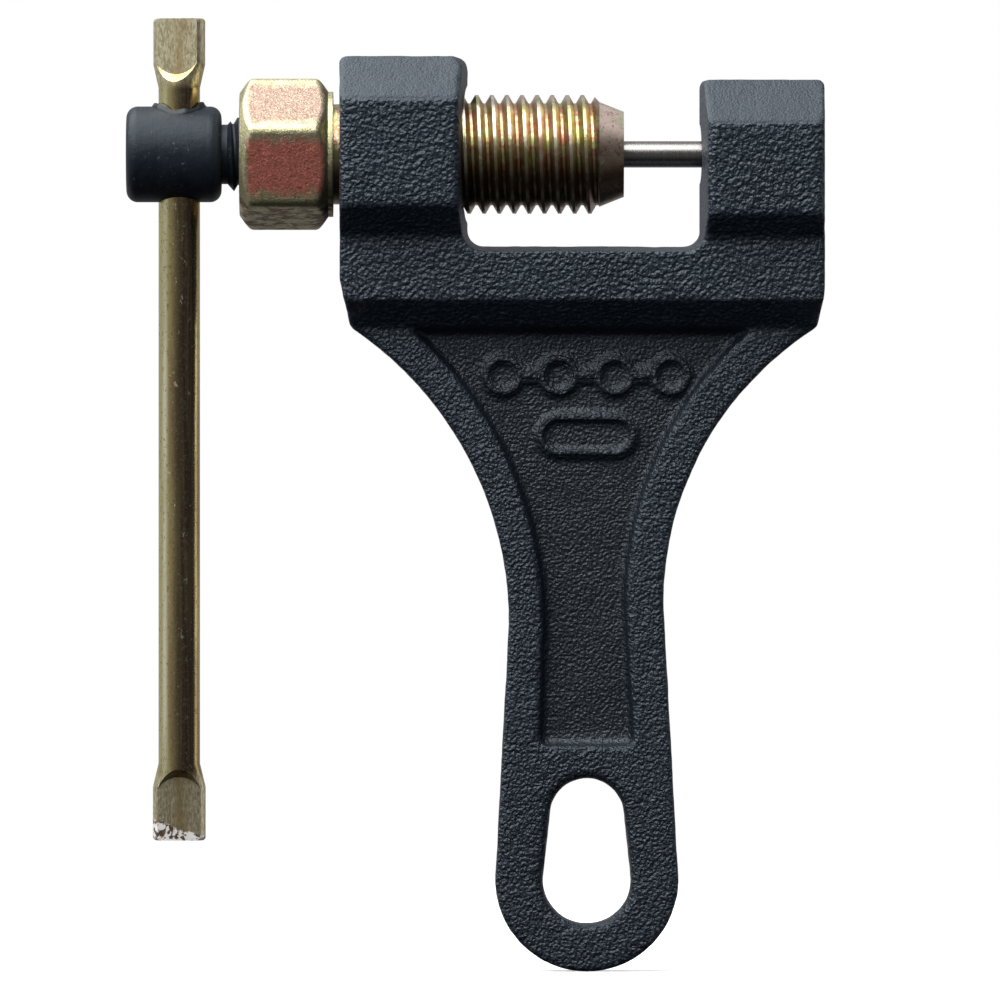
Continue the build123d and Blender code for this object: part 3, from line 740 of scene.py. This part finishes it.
class CHAINTOOL_OT_stage(bpy.types.Operator):
    """Add the floor, the lights, the sky and the camera"""

    bl_idname = "chain_tool.stage"
    bl_label = "Stage"

    def softbox(self, name, place, aim, width, height, power):
        """A hidden rectangular light."""
        data = bpy.data.lights.new(name, "AREA")
        data.shape = "RECTANGLE"
        data.size = width
        data.size_y = height
        data.energy = power
        lamp = bpy.data.objects.new(name, data)
        lamp.location = place
        lamp.rotation_euler = (Vector(aim) - Vector(place)).to_track_quat("-Z", "Y").to_euler()
        lamp.visible_camera = False
        bpy.context.scene.collection.objects.link(lamp)

    def sky(self, studio):
        """White to the camera; to the tool, bright above, softer at the sides and behind."""
        world = bpy.data.worlds.new("studio")
        bpy.context.scene.world = world
        world.use_nodes = True
        dome = Nodes(world.node_tree, "ShaderNodeOutputWorld")
        x, y, z = dome.split(dome.node("ShaderNodeTexCoord").outputs["Generated"])
        level = z.hump(0.0, 0.9)
        light = (
            SKY_BASE
            + studio.sky_top * z.ramp(0.1, 1.0)
            + studio.sky_front * z.hump(-0.1, 0.8)
            + studio.sky_left * (0.0 - x).ramp(0.1, 1.0) * level
            + studio.sky_right * x.ramp(0.6, 0.9) * y.hump(0.28, 0.34) * level
            + studio.sky_back * y.ramp(0.3, 0.9)
        )
        shade = dome.node("ShaderNodeCombineColor", {}, {0: light, 1: light, 2: light * 1.03})
        glow = dome.node("ShaderNodeBackground", {}, {"Color": shade.outputs[0]})
        plain = dome.node("ShaderNodeBackground", {}, {"Color": (1.0, 1.0, 1.0)})
        seen = dome.node("ShaderNodeLightPath").outputs["Is Camera Ray"]
        swap = {0: seen, 1: glow.outputs[0], 2: plain.outputs[0]}
        both = dome.node("ShaderNodeMixShader", {}, swap)
        dome.plug(dome.output.inputs["Surface"], both.outputs[0])

    def execute(self, context):
        studio = context.scene.chain_tool_studio
        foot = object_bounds()[0][2]
        aim = Vector(studio.aim)

        sheet = bmesh.new()
        bmesh.ops.create_circle(sheet, cap_ends=True, segments=96, radius=FLOOR_RADIUS)
        bmesh.ops.translate(sheet, verts=sheet.verts[:], vec=(aim.x, 0.0, foot - FLOOR_GAP))
        mesh = bpy.data.meshes.new("floor")
        sheet.to_mesh(mesh)
        sheet.free()
        floor = bpy.data.objects.new("floor", mesh)
        context.scene.collection.objects.link(floor)
        paper = Finish("pale_paper")
        grain = paper.noise(1.0 * MM, 3.0)
        tone = paper.mix(grain * 0.25, studio.backdrop, [c * 0.97 for c in studio.backdrop])
        mesh.materials.append(
            paper.surface(
                Base_Color=tone,
                Roughness=0.9,
                Normal=paper.relief(grain, 0.01 * MM),
                Emission_Color=tone,
                Emission_Strength=0.55,
            )
        )
        floor.visible_glossy = False
        floor.visible_diffuse = False
        floor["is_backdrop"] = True

        self.softbox(
            "top_softbox",
            place=(-0.22, -0.10, 0.34),
            aim=aim,
            width=0.80,
            height=0.55,
            power=studio.top_power,
        )
        self.sky(studio)

        lens = bpy.data.cameras.new("camera")
        lens.lens = studio.lens
        lens.sensor_width = 36.0
        lens.clip_start = 0.01
        lens.clip_end = 10.0
        camera = bpy.data.objects.new("camera", lens)
        camera.location = (aim.x, aim.y - studio.camera_distance, aim.z)
        camera.rotation_euler = (math.pi / 2, 0.0, 0.0)
        context.scene.collection.objects.link(camera)
        context.scene.camera = camera
        context.scene.view_settings.view_transform = "Standard"
        return {"FINISHED"}


class CHAINTOOL_OT_cast_frame(bpy.types.Operator):
    """Model the casting: softened edges, a rough skin and its black coat"""

    bl_idname = "chain_tool.cast_frame"
    bl_label = "Cast frame"

    def execute(self, context):
        sizes = context.scene.chain_tool_sizes
        casting = merged_copy("frame", "casting")
        grid = casting.modifiers.new("grid", "REMESH")
        grid.mode = "VOXEL"
        grid.voxel_size = sizes.voxel
        soften = casting.modifiers.new("soften", "SMOOTH")
        soften.factor = 0.5
        soften.iterations = 1
        settle(casting)
        roughen(casting.data, sizes)
        casting.data.shade_smooth()
        casting.data.materials.append(black_casting(context.scene.chain_tool_looks))
        if len(casting.data.polygons) > FACE_LIMIT:
            raise RuntimeError(f"the casting has {len(casting.data.polygons)} faces")
        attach(casting, "frame_body")
        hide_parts("frame")
        return {"FINISHED"}


class CHAINTOOL_OT_panel_marks(bpy.types.Operator):
    """Raise the marks on the front panel: a row of joined chain rollers over a plain ring"""

    bl_idname = "chain_tool.panel_marks"
    bl_label = "Panel marks"

    def section(self, shell, centre, across, marks):
        """The outline of one stroke, standing on the panel at a distance from a centre."""
        foot, top = marks.foot_width / 2, marks.top_width / 2
        shape = (
            (across - foot, marks.sunk_y),
            (across - top, marks.top_y),
            (across + top, marks.top_y),
            (across + foot, marks.sunk_y),
        )
        corners = [shell.verts.new((centre.x, y, centre.z + away)) for away, y in shape]
        return outline_edges(shell, corners)

    def turn(self, shell, edges, centre, angle, steps):
        """Turns a stroke's section about a centre and returns the last section."""
        spun = bmesh.ops.spin(
            shell,
            geom=[*{v for e in edges for v in e.verts}, *edges],
            cent=centre,
            axis=(0, 1, 0),
            angle=angle,
            steps=steps,
            use_merge=angle == FULL_TURN,
        )
        return [part for part in spun["geom_last"] if isinstance(part, bmesh.types.BMEdge)]

    def slide(self, shell, edges, move):
        """Carries a stroke's section along a straight line and returns the last section."""
        made = bmesh.ops.extrude_edge_only(shell, edges=edges)["geom"]
        moved = [part for part in made if isinstance(part, bmesh.types.BMVert)]
        bmesh.ops.translate(shell, verts=moved, vec=move)
        return [
            part
            for part in made
            if isinstance(part, bmesh.types.BMEdge) and all(v in moved for v in part.verts)
        ]

    def execute(self, context):
        marks = context.scene.chain_tool_marks
        shell = bmesh.new()

        row = Vector((marks.middle_x, 0.0, marks.row_z))
        for place in (-1.5, -0.5, 0.5, 1.5):
            roller = row + Vector((place * marks.pitch, 0.0, 0.0))
            stroke = self.section(shell, roller, marks.roller_radius, marks)
            self.turn(shell, stroke, roller, FULL_TURN, 40)

        half = 0.5 * (marks.ring_length - marks.ring_height)
        radius = 0.5 * (marks.ring_height - marks.foot_width)
        badge = Vector((marks.middle_x, 0.0, marks.ring_z))
        right = badge + Vector((half, 0.0, 0.0))
        left = badge - Vector((half, 0.0, 0.0))
        stroke = self.section(shell, right, radius, marks)
        stroke = self.turn(shell, stroke, right, math.pi, 20)
        stroke = self.slide(shell, stroke, left - right)
        stroke = self.turn(shell, stroke, left, math.pi, 20)
        self.slide(shell, stroke, right - left)
        bmesh.ops.remove_doubles(shell, verts=shell.verts[:], dist=STROKE_WELD)

        gap = marks.pitch - 2 * marks.roller_radius
        for place in (-1, 0, 1):
            link = bmesh.ops.create_cube(shell, size=1.0)["verts"]
            thick = marks.sunk_y - marks.top_y
            bmesh.ops.scale(shell, verts=link, vec=(gap, thick, marks.top_width * LINK_WIDTH))
            middle = row + Vector((place * marks.pitch, marks.top_y + thick / 2, 0.0))
            bmesh.ops.translate(shell, verts=link, vec=middle)

        sharp = [e for e in shell.edges if e.is_manifold and e.calc_face_angle() > SHARP_ANGLE]
        bmesh.ops.bevel(
            shell,
            geom=sharp,
            offset=marks.edge_radius,
            offset_type="OFFSET",
            affect="EDGES",
            segments=2,
            profile=0.5,
            material=-1,
        )
        piece = new_piece(shell, "panel_marks", "black_casting_coat")
        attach(piece, "frame_body")
        return {"FINISHED"}


class CHAINTOOL_OT_adjusting_bolt(bpy.types.Operator):
    """Finish the hollow adjusting bolt in yellow zinc"""

    bl_idname = "chain_tool.adjusting_bolt"
    bl_label = "Adjusting bolt"

    def execute(self, context):
        finish_node("adjusting_bolt", yellow_zinc(context.scene.chain_tool_looks))
        return {"FINISHED"}


class CHAINTOOL_OT_push_screw(bpy.types.Operator):
    """Finish the push screw in black oxide"""

    bl_idname = "chain_tool.push_screw"
    bl_label = "Push screw"

    def execute(self, context):
        finish_node("push_screw", black_oxide(context.scene.chain_tool_looks))
        return {"FINISHED"}


class CHAINTOOL_OT_burr(bpy.types.Operator):
    """Raise the ragged burr round the bar's hole, on top of the push screw's head"""

    bl_idname = "chain_tool.burr"
    bl_label = "Burr"

    def execute(self, context):
        burr = context.scene.chain_tool_burr
        centre = Vector((BAR_MIDDLE, 0.0, HEAD_RADIUS))
        crest = 0.5 * (burr.inner_radius + burr.outer_radius)
        outline = (
            (burr.inner_radius, -burr.root),
            (burr.inner_radius, burr.height),
            (crest, burr.height),
            (burr.outer_radius, 0.0),
            (burr.outer_radius, -burr.root),
        )
        shell = bmesh.new()
        corners = [shell.verts.new(centre + Vector((away, 0.0, up))) for away, up in outline]
        bmesh.ops.spin(
            shell,
            geom=[*corners, *outline_edges(shell, corners)],
            cent=centre,
            axis=(0, 0, 1),
            angle=FULL_TURN,
            steps=72,
            use_merge=True,
        )
        for vertex in shell.verts:
            if vertex.co.z > HEAD_RADIUS + 0.5 * burr.height:
                vertex.co.z += noise.noise(vertex.co / burr.tooth) * burr.ragged
            vertex.co.z += math.sqrt(HEAD_RADIUS**2 - vertex.co.y**2) - HEAD_RADIUS
        piece = new_piece(shell, "burr", "black_oxide")
        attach(piece, "screw_body")
        return {"FINISHED"}


class CHAINTOOL_OT_tommy_bar(bpy.types.Operator):
    """Finish the tommy bar in drawn yellow zinc"""

    bl_idname = "chain_tool.tommy_bar"
    bl_label = "Tommy bar"

    def execute(self, context):
        finish_node("tommy_bar", bar_zinc(context.scene.chain_tool_looks))
        return {"FINISHED"}


class CHAINTOOL_OT_pin_and_spring(bpy.types.Operator):
    """Finish the extractor pin, and give its return spring a welded, smooth copy in spring steel
    """

    bl_idname = "chain_tool.pin_and_spring"
    bl_label = "Pin and spring"

    def execute(self, context):
        looks = context.scene.chain_tool_looks
        finish_node("extractor_pin", bright_steel(looks))
        spring = merged_copy("return_spring", "coil_spring")
        spring.data.shade_smooth()
        spring.data.materials.append(spring_steel(looks))
        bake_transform(spring)
        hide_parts("return_spring")
        return {"FINISHED"}


class CHAINTOOL_PT_build(bpy.types.Panel):
    """Lists the steps that build the chain tool"""

    bl_idname = "CHAINTOOL_PT_build"
    bl_label = "Chain Tool"
    bl_space_type = "VIEW_3D"
    bl_region_type = "UI"
    bl_category = "Chain Tool"

    def draw(self, context):
        for step in STEPS:
            self.layout.operator(step.bl_idname)


STEPS = (
    CHAINTOOL_OT_stage,
    CHAINTOOL_OT_cast_frame,
    CHAINTOOL_OT_panel_marks,
    CHAINTOOL_OT_adjusting_bolt,
    CHAINTOOL_OT_push_screw,
    CHAINTOOL_OT_burr,
    CHAINTOOL_OT_tommy_bar,
    CHAINTOOL_OT_pin_and_spring,
)
GROUPS = {
    "chain_tool_sizes": ChainToolSizes,
    "chain_tool_marks": ChainToolMarks,
    "chain_tool_burr": ChainToolBurr,
    "chain_tool_looks": ChainToolLooks,
    "chain_tool_studio": ChainToolStudio,
}
CLASSES = (*GROUPS.values(), *STEPS, CHAINTOOL_PT_build)


def register():
    """Registers the property groups, the operators and the panel."""
    for kind in CLASSES:
        bpy.utils.register_class(kind)
    for name, kind in GROUPS.items():
        setattr(bpy.types.Scene, name, PointerProperty(type=kind))


def unregister():
    """Takes away what register added."""
    for name in GROUPS:
        delattr(bpy.types.Scene, name)
    for kind in reversed(CLASSES):
        bpy.utils.unregister_class(kind)


def main():
    """Builds the tool and its stage."""
    register()
    bpy.ops.chain_tool.stage()
    bpy.ops.chain_tool.cast_frame()
    bpy.ops.chain_tool.panel_marks()
    bpy.ops.chain_tool.adjusting_bolt()
    bpy.ops.chain_tool.push_screw()
    bpy.ops.chain_tool.burr()
    bpy.ops.chain_tool.tommy_bar()
    bpy.ops.chain_tool.pin_and_spring()


if __name__ == "__main__":
    main()
